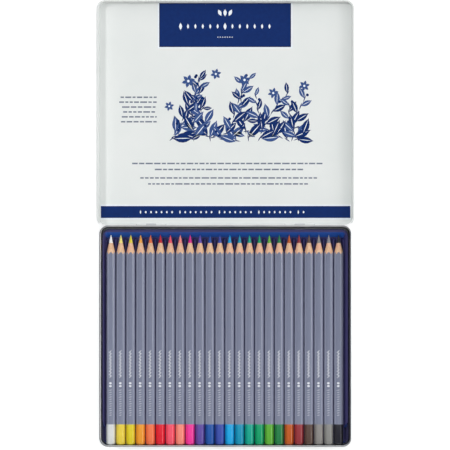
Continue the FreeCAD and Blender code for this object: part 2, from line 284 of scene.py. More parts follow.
@dataclass
class Surface:
    """The nodes of one material, which its finish dresses."""

    tree: Tree
    shader: Node
    place: Socket
    peel_size: float = 1.6667 * MM
    peel_depth: float = 0.006 * MM

    def mottle(self, place: Socket, noise: dict, stops: Stops) -> Socket:
        """Colours the surface by a cloudy pattern.

        Args:
            place: the coordinates that the pattern follows.
            noise: the pattern's settings.
            stops: places and hex colours of its tones.

        Returns:
            The pattern, from 0 to 1.
        """
        cloud = add_node(self.tree, "ShaderNodeTexNoise", noise, {"Vector": place}).outputs["Fac"]
        tone = add_node(self.tree, "ShaderNodeValToRGB", links={"Fac": cloud}, stops=stops)
        self.tree.links.new(tone.outputs["Color"], self.shader.inputs["Base Color"])
        return cloud

    def speckle(self, colour: str, noise: dict, low: float, high: float) -> Socket:
        """Colours the surface, darker and brighter by a cloudy pattern.

        Args:
            colour: the sRGB hex colour.
            noise: the pattern's settings.
            low: the brightness where the pattern is 0.
            high: the brightness where it is 1.

        Returns:
            The pattern, from 0 to 1.
        """
        tree = self.tree
        cloud = add_node(tree, "ShaderNodeTexNoise", noise, {"Vector": self.place}).outputs["Fac"]
        share = add_node(
            tree, "ShaderNodeMapRange", {"To Min": low, "To Max": high}, {"Value": cloud}
        ).outputs["Result"]
        tone = add_node(
            tree, "ShaderNodeHueSaturation", {"Color": linear(colour)}, {"Value": share}
        )
        tree.links.new(tone.outputs["Color"], self.shader.inputs["Base Color"])
        return cloud

    def tint(self, share: Socket, colour: str) -> None:
        """Mixes another colour into the surface's own.

        Args:
            share: how much of it, from 0 to 1.
            colour: its sRGB hex.
        """
        base = self.shader.inputs["Base Color"]
        mixed = add_node(
            self.tree,
            "ShaderNodeMix",
            {"data_type": "RGBA", 7: linear(colour)},
            {0: share, 6: base.links[0].from_socket},
        )
        self.tree.links.new(mixed.outputs[2], base)

    def relief(self, height: Socket, depth: float) -> None:
        """Turns a height from 0 to 1 to a relief that many metres deep.

        Args:
            height: the pattern.
            depth: its depth in metres.
        """
        bump = add_node(
            self.tree, "ShaderNodeBump", {"Strength": 1.0, "Distance": depth}, {"Height": height}
        )
        self.tree.links.new(bump.outputs["Normal"], self.shader.inputs["Normal"])

    def orange_peel(self) -> None:
        """Adds the very slight waves of a coat that flowed before it set."""
        noise = {"Scale": 1 / self.peel_size, "Detail": 1.0}
        peel = add_node(self.tree, "ShaderNodeTexNoise", noise, {"Vector": self.place})
        self.relief(peel.outputs["Fac"], self.peel_depth)


@dataclass(frozen=True)
class Finish:
    """One surface finish, which makes its material the first time that it is asked for.

    The size of a pattern is the distance of its blotches, and its scale is worked out from that.
    """

    name: str

    def material(self) -> bpy.types.Material:
        """Makes or finds the finish's material.

        Returns:
            The material.
        """
        found = bpy.data.materials.get(self.name)
        if found:
            return found
        made = bpy.data.materials.new(self.name)
        made.use_nodes = True
        tree = made.node_tree
        place = add_node(tree, "ShaderNodeTexCoord").outputs["Object"]
        self.dress(Surface(tree, tree.nodes["Principled BSDF"], place))
        return made

    def dress(self, surface: Surface) -> None:
        """Adds the finish's nodes.

        Args:
            surface: the material's nodes; its place is the object's coordinates, in metres.
        """
        raise NotImplementedError


@dataclass(frozen=True)
class SatinTinplate(Finish):
    """Bare tinplate as rolled: satin grey, with faint rolling lines and a slightly cloudy sheen."""

    colour: str = "#DCDEDE"
    other_colour: str = "#CDD0D1"
    roughness: float = 0.34
    dulling: Pair = (-0.05, 0.07)
    cloud_size: float = 16.667 * MM
    line_length: float = 8.3333 * MM
    line_gap: float = 0.4 * MM
    line_depth: float = 0.004 * MM

    def dress(self, surface: Surface) -> None:
        """Adds the metal, its cloudiness and its rolling lines.

        Args:
            surface: the material's nodes.
        """
        tree = surface.tree
        set_values(surface.shader, {"Metallic": 1.0})
        noise = {"Scale": 1 / self.cloud_size, "Detail": 3.0}
        stops = [(0.3, self.other_colour), (0.7, self.colour)]
        cloud = surface.mottle(surface.place, noise, stops)
        low, high = self.dulling
        sheen = add_node(
            tree,
            "ShaderNodeMapRange",
            {"To Min": self.roughness + low, "To Max": self.roughness + high},
            {"Value": cloud},
        )
        tree.links.new(sheen.outputs["Result"], surface.shader.inputs["Roughness"])
        scale = (1 / self.line_length, 1 / self.line_gap, 1 / self.line_gap)
        grain = add_node(tree, "ShaderNodeMapping", {"Scale": scale}, {"Vector": surface.place})
        lines = add_node(
            tree,
            "ShaderNodeTexNoise",
            {"Scale": 1.0, "Detail": 2.0},
            {"Vector": grain.outputs["Vector"]},
        )
        surface.relief(lines.outputs["Fac"], self.line_depth)


@dataclass(frozen=True)
class StovedEnamel(Finish):
    """Enamel stoved on tinplate: an even coat, smooth to the eye, with a slight orange peel."""

    colour: str = "#E6E9E7"
    other_colour: str = "#E2E6E4"
    cloud_size: float = 45.455 * MM

    def dress(self, surface: Surface) -> None:
        """Adds the coat's faint cloudiness and its orange peel.

        Args:
            surface: the material's nodes.
        """
        set_values(surface.shader, {"Roughness": 0.34, "IOR": 1.52})
        noise = {"Scale": 1 / self.cloud_size, "Detail": 3.0}
        surface.mottle(surface.place, noise, [(0.35, self.other_colour), (0.65, self.colour)])
        surface.orange_peel()


@dataclass(frozen=True)
class FormedPolystyrene(Finish):
    """Polystyrene sheet, vacuum formed: dark violet blue, with a painted reflection in brighter
    blue.

    The painted reflection lies on the faces turned to the front, over the slope behind the pencils'
    tips.
    """

    colour: str = "#3A3768"
    other_colour: str = "#322F60"
    painted_reflection_colour: str = "#1553AE"
    cloud_size: float = 25.0 * MM
    ripple_size: float = 5.0 * MM
    ripple_depth: float = 0.03 * MM

    def dress(self, surface: Surface) -> None:
        """Adds the sheet's colour, the painted reflection on the rear slope and the mould's ripple.

        Args:
            surface: the material's nodes.
        """
        tree = surface.tree
        set_values(surface.shader, {"Roughness": 0.42, "IOR": 1.59})
        noise = {"Scale": 1 / self.cloud_size, "Detail": 4.0}
        surface.mottle(surface.place, noise, [(0.3, self.other_colour), (0.7, self.colour)])
        # painted reflection: faces turned to the front are tinted brighter blue, as the rear slope
        # mirrors a bright surround
        normal = surface.place.node.outputs["Normal"]
        facing = add_node(tree, "ShaderNodeSeparateXYZ", links={0: normal})
        drawn = add_node(
            tree,
            "ShaderNodeMapRange",
            {"From Min": -0.3, "From Max": -0.75, "To Max": 0.9},
            {"Value": facing.outputs["Y"]},
        )
        surface.tint(drawn.outputs["Result"], self.painted_reflection_colour)
        noise = {"Scale": 1 / self.ripple_size, "Detail": 2.0}
        ripple = add_node(tree, "ShaderNodeTexNoise", noise, {"Vector": surface.place})
        surface.relief(ripple.outputs["Fac"], self.ripple_depth)


@dataclass(frozen=True)
class PencilLacquer(Finish):
    """Nitrocellulose lacquer in many coats: glossy, over a trace of grain, with a painted sheen on
    its slopes.
    """

    colour: str = "#797E94"
    other_colour: str = "#73798F"
    painted_sheen_colour: str = "#BFC4DA"
    roughness: float = 0.32
    streak_width: float = 0.5 * MM
    streak_length: float = 25.0 * MM
    streak_depth: float = 0.0008 * MM

    def dress(self, surface: Surface) -> None:
        """Adds the coat with its faint streaks and a painted sheen, paler where it slopes away from
        the eye.

        Args:
            surface: the material's nodes.
        """
        tree = surface.tree
        coat = {"IOR": 1.5, "Coat Weight": 0.8, "Coat Roughness": 0.12}
        set_values(surface.shader, {"Roughness": self.roughness, **coat})
        scale = (1 / self.streak_width, 1 / self.streak_length, 1 / self.streak_width)
        along = add_node(tree, "ShaderNodeMapping", {"Scale": scale}, {"Vector": surface.place})
        streak = surface.mottle(
            along.outputs["Vector"],
            {"Scale": 1.0, "Detail": 2.0},
            [(0.3, self.other_colour), (0.7, self.colour)],
        )
        # painted sheen: the colour turns paler where the barrel slopes away from the eye
        slant = add_node(tree, "ShaderNodeLayerWeight", {"Blend": 0.5})
        painted_sheen = add_node(
            tree,
            "ShaderNodeMapRange",
            {"From Min": 0.1, "From Max": 0.5, "To Max": 0.45},
            {"Value": slant.outputs["Facing"]},
        )
        surface.tint(painted_sheen.outputs["Result"], self.painted_sheen_colour)
        surface.relief(streak, self.streak_depth)


@dataclass(frozen=True)
class SharpenedCedar(Finish):
    """Cedar cut by a sharpener: pinkish tan, with grain along the pencil and turning marks."""

    dark_colour: str = "#CFA27C"
    colour: str = "#DFB792"
    pale_colour: str = "#EBC9B0"
    blush_colour: str = "#E6A793"
    grain_width: float = 0.625 * MM
    grain_length: float = 9.0909 * MM
    blush_size: float = 5.5556 * MM
    mark_gap: float = 0.4909 * MM
    mark_depth: float = 0.01 * MM
    wave_turns: float = 20 / math.tau  # waves per unit of Blender's wave texture

    def dress(self, surface: Surface) -> None:
        """Adds the grain, the pinkish blush and the turning marks.

        Args:
            surface: the material's nodes.
        """
        tree = surface.tree
        set_values(surface.shader, {"Roughness": 0.62, "IOR": 1.45})
        scale = (1 / self.grain_width, 1 / self.grain_length, 1 / self.grain_width)
        along = add_node(tree, "ShaderNodeMapping", {"Scale": scale}, {"Vector": surface.place})
        surface.mottle(
            along.outputs["Vector"],
            {"Scale": 1.0, "Detail": 4.0, "Roughness": 0.6},
            [(0.28, self.dark_colour), (0.5, self.colour), (0.72, self.pale_colour)],
        )
        noise = {"Scale": 1 / self.blush_size, "Detail": 1.0}
        blush = add_node(tree, "ShaderNodeTexNoise", noise, {"Vector": surface.place})
        share = add_node(
            tree,
            "ShaderNodeMapRange",
            {"From Min": 0.45, "From Max": 0.7, "To Max": 0.55},
            {"Value": blush.outputs["Fac"]},
        )
        surface.tint(share.outputs["Result"], self.blush_colour)
        waves = 1 / (self.mark_gap * self.wave_turns)
        turning = add_node(
            tree,
            "ShaderNodeTexWave",
            {"bands_direction": "Y", "Scale": waves, "Distortion": 1.5, "Detail": 1.0},
            {"Vector": surface.place},
        )
        surface.relief(turning.outputs["Fac"], self.mark_depth)


@dataclass(frozen=True)
class PigmentLead(Finish):
    """Pressed pigment and gum, sharpened: nearly matt, with a waxy gleam along the cone."""

    colour: str = "#D8DAD9"
    brightness: Pair = (0.86, 1.1)
    grain_size: float = 0.3125 * MM
    grain_depth: float = 0.012 * MM

    def dress(self, surface: Surface) -> None:
        """Adds the pigment with its grain.

        Args:
            surface: the material's nodes.
        """
        set_values(surface.shader, {"Roughness": 0.45, "IOR": 1.5})
        noise = {"Scale": 1 / self.grain_size, "Detail": 2.0}
        grain = surface.speckle(self.colour, noise, *self.brightness)
        surface.relief(grain, self.grain_depth)


@dataclass(frozen=True)
class DipLacquer(Finish):
    """Coloured lacquer in which the pencil's end was dipped: thick, glossy and even."""

    colour: str = "#D8DAD9"
    brightness: Pair = (0.93, 1.05)
    cloud_size: float = 2.2222 * MM
    cloud_depth: float = 0.01 * MM

    def dress(self, surface: Surface) -> None:
        """Adds the coat with its slight unevenness.

        Args:
            surface: the material's nodes.
        """
        coat = {"Coat Weight": 0.4, "Coat Roughness": 0.08}
        set_values(surface.shader, {"Roughness": 0.3, "IOR": 1.5, **coat})
        noise = {"Scale": 1 / self.cloud_size, "Detail": 2.0}
        cloud = surface.speckle(self.colour, noise, *self.brightness)
        surface.relief(cloud, self.cloud_depth)


@dataclass(frozen=True)
class HotFoil(Finish):
    """Metal foil stamped hot into the lacquer: a thin silvery film, a little worn."""

    colour: str = "#EDF0F5"
    worn_colour: str = "#A9AEBE"
    metallic: float = 0.15
    speck_size: float = 0.55556 * MM

    def dress(self, surface: Surface) -> None:
        """Adds the film with its worn specks.

        Args:
            surface: the material's nodes.
        """
        set_values(surface.shader, {"Metallic": self.metallic, "Roughness": 0.35})
        noise = {"Scale": 1 / self.speck_size, "Detail": 3.0}
        surface.mottle(surface.place, noise, [(0.3, self.worn_colour), (0.5, self.colour)])


@dataclass(frozen=True)
class PrintInk(Finish):
    """Offset ink under the stoving varnish: flat colour with a trace of mottle."""

    colour: str = "#0B2C6A"
    other_colour: str = "#0A2862"
    mottle_size: float = 3.125 * MM

    def dress(self, surface: Surface) -> None:
        """Adds the ink with its mottle and the varnish's orange peel.

        Args:
            surface: the material's nodes.
        """
        set_values(surface.shader, {"Roughness": 0.26, "IOR": 1.5})
        noise = {"Scale": 1 / self.mottle_size, "Detail": 3.0}
        surface.mottle(surface.place, noise, [(0.3, self.other_colour), (0.7, self.colour)])
        surface.orange_peel()


class Shade(Enum):
    """The set's colours: the record's slot name, the dipped end's and the lead's sRGB hex."""

    WHITE = ("white", "#D8DAD9", "#F2F1EE")
    PALE_YELLOW = ("pale_yellow", "#E8CF45", "#EFE07A")
    YELLOW = ("yellow", "#DECB25", "#E6D23C")
    ORANGE_YELLOW = ("orange_yellow", "#EB9A2C", "#E9A040")
    ORANGE = ("orange", "#F0764A", "#DC6A3A")
    RED = ("red", "#E01B30", "#BE1828")
    ROSE = ("rose", "#F4546A", "#E24A60")
    SALMON = ("salmon", "#F58C7A", "#EE8480")
    MAGENTA = ("magenta", "#F2359B", "#D8208A")
    VIOLET = ("violet", "#5F4BA0", "#5A45A6")
    DARK_BLUE = ("dark_blue", "#1F55A5", "#1C4A9E")
    ULTRAMARINE = ("ultramarine", "#3A4FA8", "#3848A0")
    LIGHT_BLUE = ("light_blue", "#0FA5E0", "#159AD2")
    TURQUOISE = ("turquoise", "#0A93B5", "#0E8CA8")
    BLUE_GREEN = ("blue_green", "#0AA58C", "#129A82")
    GREEN = ("green", "#089E68", "#0E9460")
    LIGHT_GREEN = ("light_green", "#5FAE35", "#5FA83A")
    DARK_GREEN = ("dark_green", "#237F48", "#247A46")
    SIENNA = ("sienna", "#BF5A1E", "#B85822")
    BROWN_RED = ("brown_red", "#97343A", "#8E3238")
    BROWN = ("brown", "#5B473F", "#5E483E")
    WARM_GREY = ("warm_grey", "#8B8885", "#8C8884")
    COLD_GREY = ("cold_grey", "#8A8A87", "#8C8A90")
    BLACK = ("black", "#26262F", "#24242C")

    def __init__(self, slot: str, dip: str, lead: str) -> None:
        """Keeps the member's slot name and its two colours.

        Args:
            slot: the slot's name.
            dip: the dipped end's colour.
            lead: the lead's colour.
        """
        self.slot = slot
        self.dip = dip
        self.lead = lead


TINPLATE = SatinTinplate("satin_tinplate")
WHITE_ENAMEL = StovedEnamel("white_stoved_enamel")
WIRE = SatinTinplate("drawn_steel_wire", colour="#B4B6B8", roughness=0.35)
TRAY_PLASTIC = FormedPolystyrene("vacuum_formed_polystyrene")
BARREL = PencilLacquer("blue_grey_pencil_lacquer")
CEDAR = SharpenedCedar("sharpened_cedar")
SILVER = HotFoil("silver_hot_foil")
DIM_SILVER = HotFoil("thin_silver_hot_foil", colour="#B9BECB", metallic=0.1)
NAVY_INK = PrintInk("navy_offset_ink")
DEEP_NAVY_INK = PrintInk("deep_navy_offset_ink", colour="#0B1F50", other_colour="#0A1B48")
PALE_INK = PrintInk("pale_blue_offset_ink", colour="#F1F7FC", other_colour="#E9F1F8")
MID_INK = PrintInk("mid_blue_offset_ink", colour="#3B568F", other_colour="#355086")
GREY_INK = PrintInk("grey_offset_ink", colour="#767D8E", other_colour="#6C7486")


# The tin, the tray and the wires


@dataclass
class SheetPiece:
    """A piece of sheet that has the CAD node's form, with its bends shaded round."""

    node: str
    name: str
    body: str
    slot: str
    finish: Finish
    merge: float = 0.005 * MM
    flat_angle: float = 0.5
    smooth_angle: float = 50.0

    def build(self) -> Piece:
        """Copies the node's mesh, merges its loose triangles and shades it.

        Returns:
            The finished piece, which stands for the node.
        """
        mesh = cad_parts[self.node].data.copy()
        mesh.materials.clear()
        piece = linked(self.name, mesh)
        only(piece)
        bpy.ops.mesh.customdata_custom_splitnormals_clear()
        flat_angle = math.radians(self.flat_angle)
        with editing(piece):
            bpy.ops.mesh.select_all(action="SELECT")
            bpy.ops.mesh.remove_doubles(threshold=self.merge)
            bpy.ops.mesh.dissolve_limited(angle_limit=flat_angle, delimit={"NORMAL"})
        piece.data.materials.append(self.finish.material())
        smooth(piece, self.smooth_angle)
        apply_modifier(piece, "WEIGHTED_NORMAL", keep_sharp=True)
        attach(piece, self.body)
        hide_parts(self.node)
        log.info("%s: %d faces", piece.name, len(piece.data.polygons))
        return piece


@dataclass
class HingeWires:
    """The two wires on which the lid turns."""

    nodes: tuple[str, ...] = ("hinge_pin_left", "hinge_pin_right")
    facets: int = 32
    ease: float = 0.15 * MM
    smooth_angle: float = 40.0

    def build(self) -> None:
        """Turns each wire round where its CAD node stands, with eased ends."""
        for node in self.nodes:
            low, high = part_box(node)
            middle = (low + high) / 2
            deselect_all()
            bpy.ops.mesh.primitive_cylinder_add(
                vertices=self.facets,
                radius=(high.z - low.z) / 2,
                depth=high.x - low.x,
                location=middle,
                rotation=(0, math.pi / 2, 0),
            )
            wire = settled(f"{node}_wire")
            with editing(wire):
                pick_faces(wire, lambda centre, normal: abs(normal.x) > FACING)
                bpy.ops.mesh.bevel(offset=self.ease, segments=2, affect="EDGES")
            wire.data.materials.append(WIRE.material())
            smooth(wire, self.smooth_angle)
            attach(wire, "base")
            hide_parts(node)
            log.info("%s: %d faces", wire.name, len(wire.data.polygons))


# The pencils


@dataclass
class PencilRow:
    """The pencils: one is modelled, and each of the row is a copy with its own mesh and colours.

    A place is a y, but a mark's place is how far it lies from the imprint's top to the domed end.
    """

    across_flats: float = 6.9 * MM
    corner_round: float = 1.0 * MM
    dome_height: float = 1.4 * MM
    dome_inset: float = 1.6 * MM
    dome_steps: int = 6
    dip_length: float = 16.9 * MM
    dip_step: float = 0.08 * MM
    dip_thickness: float = 0.04 * MM
    lead_radius: float = 1.65 * MM
    bore_gap: float = 0.02 * MM
    end_cap: float = 1.5 * MM
    feather_edge: float = 0.05 * MM
    tip_radius: float = 0.2 * MM
    blunt_length: float = 0.35 * MM
    blunt_rings: tuple[Pair, ...] = (
        (0.12 * MM, 0.19 * MM),
        (0.03 * MM, 0.12 * MM),
        (0.0, 0.05 * MM),
    )
    sharpened_length: float = 14.3 * MM
    cone_facets: int = 96
    lead_facets: int = 40
    tip_overrun: float = 1.0 * MM
    end_overrun: float = 5.0 * MM
    long_edge: float = 10.0 * MM
    skin_gap: float = 0.1 * MM
    end_gap: float = 0.05 * MM
    merge: float = 0.001 * MM
    casing_smooth_angle: float = 35.0
    lead_smooth_angle: float = 40.0
    foil_thickness: float = 0.02 * MM
    foil_top_from_end: float = 78.5 * MM
    foil_from_middle: float = -0.4 * MM
    stroke_count: int = 17
    stroke_start: float = 0.7 * MM
    stroke_gap: float = 1.32 * MM
    stroke_size: Pair = (0.7 * MM, 3.7 * MM)
    stroke_turns: Pair = (-48, 62)
    drops: Pair = (27.2 * MM, 29.6 * MM)
    drop_size: Pair = (2.4 * MM, 1.9 * MM)
    drop_corners: int = 8
    dash_count: int = 12
    dash_start: float = 33.0 * MM
    dash_gap: float = 1.9 * MM
    dash_size: Pair = (3.0 * MM, 0.8 * MM)
    third_dash_size: Pair = (3.6 * MM, 0.8 * MM)
    dash_turn: float = 12

    def __post_init__(self) -> None:
        """Reads the row's place from the first pencil's CAD nodes."""
        low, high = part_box("pencil_01_casing")
        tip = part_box("pencil_01_lead")[1]
        self.end_y = low.y
        self.tip_y = tip.y
        self.axis_z = (low.z + high.z) / 2
        self.half_flats = self.across_flats / 2
        self.dip_edge = self.end_y + self.dip_length
        self.slope = (self.half_flats - self.tip_radius) / self.sharpened_length

    def cone_radius(self, y: float) -> float:
        """Radius of the sharpened cone at a place along the pencil."""
        return self.tip_radius + (self.tip_y - y) * self.slope

    def rod(
        self, name: str, facets: int, radius: float, start: float, stop: float, turn: float = 0.0
    ) -> Piece:
        """A rod on the pencil's axis.

        Args:
            name: its name.
            facets: its number of sides.
            radius: its radius, to the corners.
            start: where it starts.
            stop: where it ends.
            turn: radians that it is turned round its axis.

        Returns:
            The rod, its middle at x = 0.
        """
        deselect_all()
        bpy.ops.mesh.primitive_cylinder_add(
            vertices=facets,
            radius=radius,
            depth=stop - start,
            location=(0, (start + stop) / 2, self.axis_z),
            rotation=(math.pi / 2, turn, 0),
        )
        return settled(name)

    def draw_out(self, y: float, radius: float, rings: list[Pair]) -> None:
        """Draws the picked end face out, ring by ring.

        Args:
            y: the end face's place.
            radius: its radius.
            rings: the place and the radius of each ring.
        """
        for ring_y, ring_radius in rings:
            bpy.ops.mesh.extrude_region_move(
                TRANSFORM_OT_translate={"value": (0, ring_y - y, 0)}
            )
            share = ring_radius / radius
            centre = (0, ring_y, self.axis_z)
            bpy.ops.transform.resize(value=(share, 1, share), center_override=centre)
            y, radius = ring_y, ring_radius

    def bar(self) -> Piece:
        """The six-sided bar with round corners and a domed end.

        Returns:
            The bar, its middle at x = 0.
        """
        start = self.end_y + self.dome_height
        half_side = math.radians(30)
        corner_radius = self.half_flats / math.cos(half_side)
        stop = self.tip_y + self.tip_overrun
        bar = self.rod("casing", 6, corner_radius, start, stop, half_side)
        with editing(bar, "EDGE"):
            pick_edges(bar, lambda a, b: abs(a.y - b.y) > self.long_edge)
            bpy.ops.mesh.bevel(
                offset=self.corner_round * math.tan(half_side),
                offset_type="OFFSET",
                segments=4,
                affect="EDGES",
            )
        rings = []
        for step in range(1, self.dome_steps + 1):
            turn = math.radians(90 * step / self.dome_steps)
            inset = self.dome_inset * (1 - math.cos(turn))
            rings.append((start - self.dome_height * math.sin(turn), self.half_flats - inset))
        with editing(bar):
            pick_faces(bar, lambda centre, normal: normal.y < -FACING)
            self.draw_out(start, self.half_flats, rings)
        return bar

    def sharpened(self, bar: Piece) -> None:
        """Sharpens the bar to its scallops, bores it for the lead and cuts the colour's edge in.

        Args:
            bar: the six-sided bar.
        """
        wood_tip = self.lead_radius + self.bore_gap + self.feather_edge
        wood_end = self.tip_y - (wood_tip - self.tip_radius) / self.slope
        back = self.end_y - self.end_overrun
        deselect_all()
        bpy.ops.mesh.primitive_cone_add(
            vertices=self.cone_facets,
            radius1=self.cone_radius(back),
            radius2=self.cone_radius(wood_end),
            depth=wood_end - back,
            location=(0, (wood_end + back) / 2, self.axis_z),
            rotation=(-math.pi / 2, 0, 0),
        )
        cut(bar, settled("sharpener"), "INTERSECT")
        bore_start = self.end_y + self.end_cap
        bore_radius = self.lead_radius + self.bore_gap
        bore = self.rod("bore", self.lead_facets, bore_radius, bore_start, self.tip_y)
        cut(bar, bore, "DIFFERENCE")
        for edge in (self.dip_edge, self.dip_edge + self.dip_step):
            with editing(bar):
                bpy.ops.mesh.select_all(action="SELECT")
                bpy.ops.mesh.bisect(
                    plane_co=(0, edge, 0), plane_no=(0, 1, 0), threshold=self.merge
                )

    def coloured(self, bar: Piece) -> None:
        """Gives the casing its slots and thickens the dipped end a little.

        Args:
            bar: the sharpened casing.
        """
        for finish in (BARREL, CEDAR, DipLacquer("dip_lacquer")):
            bar.data.materials.append(finish.material())

        def is_skin(centre: Vector) -> bool:
            """Whether a face of the dipped end lies outside of the bore."""
            reach = math.hypot(centre.x, centre.z - self.axis_z)
            return centre.y < self.dip_edge and reach > self.lead_radius + self.skin_gap

        for face in bar.data.polygons:
            reach = math.hypot(face.center.x, face.center.z - self.axis_z)
            if is_skin(face.center) or face.center.y < self.end_y + self.end_cap / 2:
                face.material_index = 2
            elif reach < self.half_flats - self.skin_gap:
                face.material_index = 1
        end = self.end_y + self.end_gap
        with editing(bar):
            pick_faces(bar, lambda centre, normal: is_skin(centre) and centre.y > end)
            bpy.ops.transform.shrink_fatten(value=self.dip_thickness)

    def foil_mark(self, along: float, size: Pair, turn: float, corners: int = 4) -> Piece:
        """One flat mark on the top face.

        Args:
            along: its place.
            size: its sizes across and along the pencil.
            turn: degrees that it is turned.
            corners: its number of corners.

        Returns:
            The flat mark.
        """
        y = self.end_y + self.foil_top_from_end - along
        deselect_all()
        bpy.ops.mesh.primitive_circle_add(
            vertices=corners,
            radius=0.5,
            fill_type="NGON",
            location=(self.foil_from_middle, y, self.axis_z + self.half_flats),
            rotation=(0, 0, math.radians(turn)),
        )
        bpy.context.object.scale = (*size, 1)
        return settled("mark")

    def foil(self) -> Piece:
        """A plain stamped ornament: slanting strokes, two drops and a fainter row of dashes.

        Returns:
            The stamped marks as one thin piece.
        """
        marks = []
        for step in range(self.stroke_count):
            along = self.stroke_start + step * self.stroke_gap
            marks.append(self.foil_mark(along, self.stroke_size, self.stroke_turns[step % 2]))
        for along in self.drops:
            marks.append(self.foil_mark(along, self.drop_size, 0, self.drop_corners))
        bright = joined(marks, "foil")
        bright.data.materials.append(SILVER.material())
        marks = []
        for step in range(self.dash_count):
            along = self.dash_start + step * self.dash_gap
            size = self.dash_size if step % 3 else self.third_dash_size
            marks.append(self.foil_mark(along, size, self.dash_turn))
        dim = joined(marks, "faint_foil")
        dim.data.materials.append(DIM_SILVER.material())
        foil = joined([bright, dim], "foil")
        apply_modifier(foil, "SOLIDIFY", thickness=self.foil_thickness, offset=1.0)
        return foil

    def lead(self) -> Piece:
        """The lead as long as its bore, sharpened with the wood to a slightly blunt tip.

        Returns:
            The lead, its middle at x = 0.
        """
        back = self.end_y + self.end_cap + self.bore_gap
        shoulder = self.tip_y - (self.lead_radius - self.tip_radius) / self.slope
        lead = self.rod("lead", self.lead_facets, self.lead_radius, back, shoulder)
        blunt = self.tip_y - self.blunt_length
        rings = [(blunt, self.cone_radius(blunt))]
        rings += [(self.tip_y - before, radius) for before, radius in self.blunt_rings]
        with editing(lead):
            pick_faces(lead, lambda centre, normal: normal.y > FACING)
            self.draw_out(shoulder, self.lead_radius, rings)
        smooth(lead, self.lead_smooth_angle)
        return lead

    def build(self) -> None:
        """Models one pencil and lays its copies where the CAD nodes stand."""
        casing = self.bar()
        self.sharpened(casing)
        self.coloured(casing)
        smooth(casing, self.casing_smooth_angle)
        casing = joined([casing, self.foil()], "casing")
        lead = self.lead()
        for number, shade in enumerate(Shade, 1):
            body = f"pencil_{number:02d}"
            low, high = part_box(f"{body}_casing")
            shift = Matrix.Translation(((low.x + high.x) / 2, 0, 0))
            for source, part, slot in (
                (casing, "casing", "casing_wood"),
                (lead, "lead", f"lead_{shade.slot}"),
            ):
                mesh = source.data.copy()
                mesh.transform(shift)
                piece = linked(f"{body}_{part}_dressed", mesh)
                mesh.name = piece.name
                if part == "casing":
                    dip = DipLacquer(f"dip_lacquer_{shade.slot}", shade.dip)
                    mesh.materials[2] = dip.material()
                else:
                    pigment = PigmentLead(f"pigment_lead_{shade.slot}", shade.lead)
                    mesh.materials.append(pigment.material())
                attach(piece, body)
                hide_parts(f"{body}_{part}")
            log.info("%s: %s", body, shade.slot)
        bpy.data.objects.remove(casing)
        bpy.data.objects.remove(lead)


# The print inside the lid


